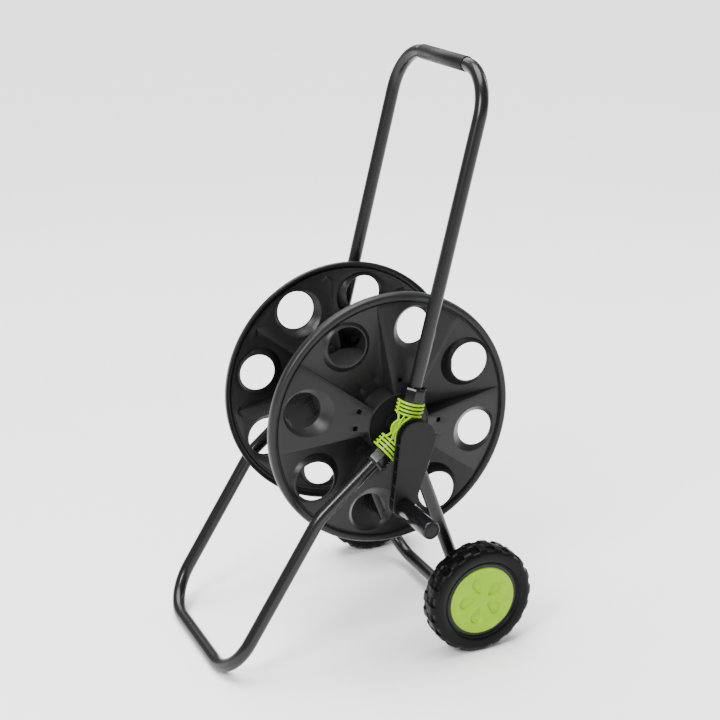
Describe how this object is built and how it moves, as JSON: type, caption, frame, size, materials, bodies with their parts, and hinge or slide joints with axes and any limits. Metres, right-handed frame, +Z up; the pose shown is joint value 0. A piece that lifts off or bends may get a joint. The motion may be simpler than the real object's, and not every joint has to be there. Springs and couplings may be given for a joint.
{
  "type": "garden hose reel cart",
  "caption": "Two-wheeled tube frame cart with a hand-cranked garden hose reel, large pierced flanges, a hollow core, and water inlet and outlet nipples.",
  "frame": {"origin": "on the floor, straight below the middle of the reel", "axes": "+Z up; the reel and wheel axes lie along Y with the crank on the -Y side; the foot bar is at -X and the wheels at +X"},
  "size_m": [0.489, 0.4759, 0.8744],
  "materials": {
    "black_tube": "satin black powder coat",
    "black_plastic": "fine matt",
    "gloss_black_plastic": "polished",
    "lime_plastic": "satin",
    "tyre": "matt",
    "zinc_steel": "zinc plated",
    "seal_rubber": "matt",
    "pale_plastic": "natural nylon"
  },
  "bodies": {
    "frame": {"handle_tube": "black_tube", "handle_grip": "black_plastic", "foot_tube": "black_tube", "rear_leg_tube": "black_tube", "crank_side_bracket": "gloss_black_plastic", "inlet_side_bracket": "gloss_black_plastic", "crank_side_clip": "lime_plastic", "inlet_side_clip": "lime_plastic", "bracket_screws": "zinc_steel", "crank_side_axle_bolt": "zinc_steel", "crank_side_axle_spacer": "black_plastic", "crank_side_axle_washer": "zinc_steel", "crank_side_axle_nut": "zinc_steel", "inlet_side_axle_bolt": "zinc_steel", "inlet_side_axle_spacer": "black_plastic", "inlet_side_axle_washer": "zinc_steel", "inlet_side_axle_nut": "zinc_steel"},
    "reel": {"crank_side_flange": "black_plastic", "inlet_side_flange": "black_plastic", "core_panel_1": "black_plastic", "core_panel_2": "black_plastic", "core_panel_3": "black_plastic", "core_panel_4": "black_plastic", "crank_spindle": "black_plastic", "inlet_journal": "black_plastic", "crank_arm": "black_plastic", "crank_pin": "zinc_steel", "water_pipe": "black_plastic", "outlet_nipple": "black_plastic", "inlet_seals": "seal_rubber"},
    "grip": {"crank_grip": "gloss_black_plastic", "grip_end_cap": "black_plastic"},
    "crank_side_wheel": {"crank_side_tyre": "tyre", "crank_side_wheel_hub": "black_plastic", "crank_side_wheel_bush": "pale_plastic", "crank_side_wheel_cap": "lime_plastic"},
    "inlet_side_wheel": {"inlet_side_tyre": "tyre", "inlet_side_wheel_hub": "black_plastic", "inlet_side_wheel_bush": "pale_plastic", "inlet_side_wheel_cap": "lime_plastic"},
    "inlet": {"inlet_elbow": "black_plastic", "inlet_lock_ring": "pale_plastic", "nipple_seal": "seal_rubber"}
  },
  "joints": [
    {"name": "reel_spin", "type": "hinge", "parent": "frame", "child": "reel", "pos_m": [0, 0, 0.352], "axis": [0, 1, 0], "continuous": true},
    {"name": "grip_spin", "type": "hinge", "parent": "reel", "child": "grip", "pos_m": [-0.023, -0.2, 0.2516], "axis": [0, 1, 0], "continuous": true},
    {"name": "crank_side_wheel_spin", "type": "hinge", "parent": "frame", "child": "crank_side_wheel", "pos_m": [0.09613, -0.188, 0.085], "axis": [0, 1, 0], "continuous": true},
    {"name": "inlet_side_wheel_spin", "type": "hinge", "parent": "frame", "child": "inlet_side_wheel", "pos_m": [0.09613, 0.188, 0.085], "axis": [0, 1, 0], "continuous": true},
    {"name": "inlet_swivel", "type": "hinge", "parent": "reel", "child": "inlet", "pos_m": [0, 0.17, 0.352], "axis": [0, 1, 0], "continuous": true}
  ]
}
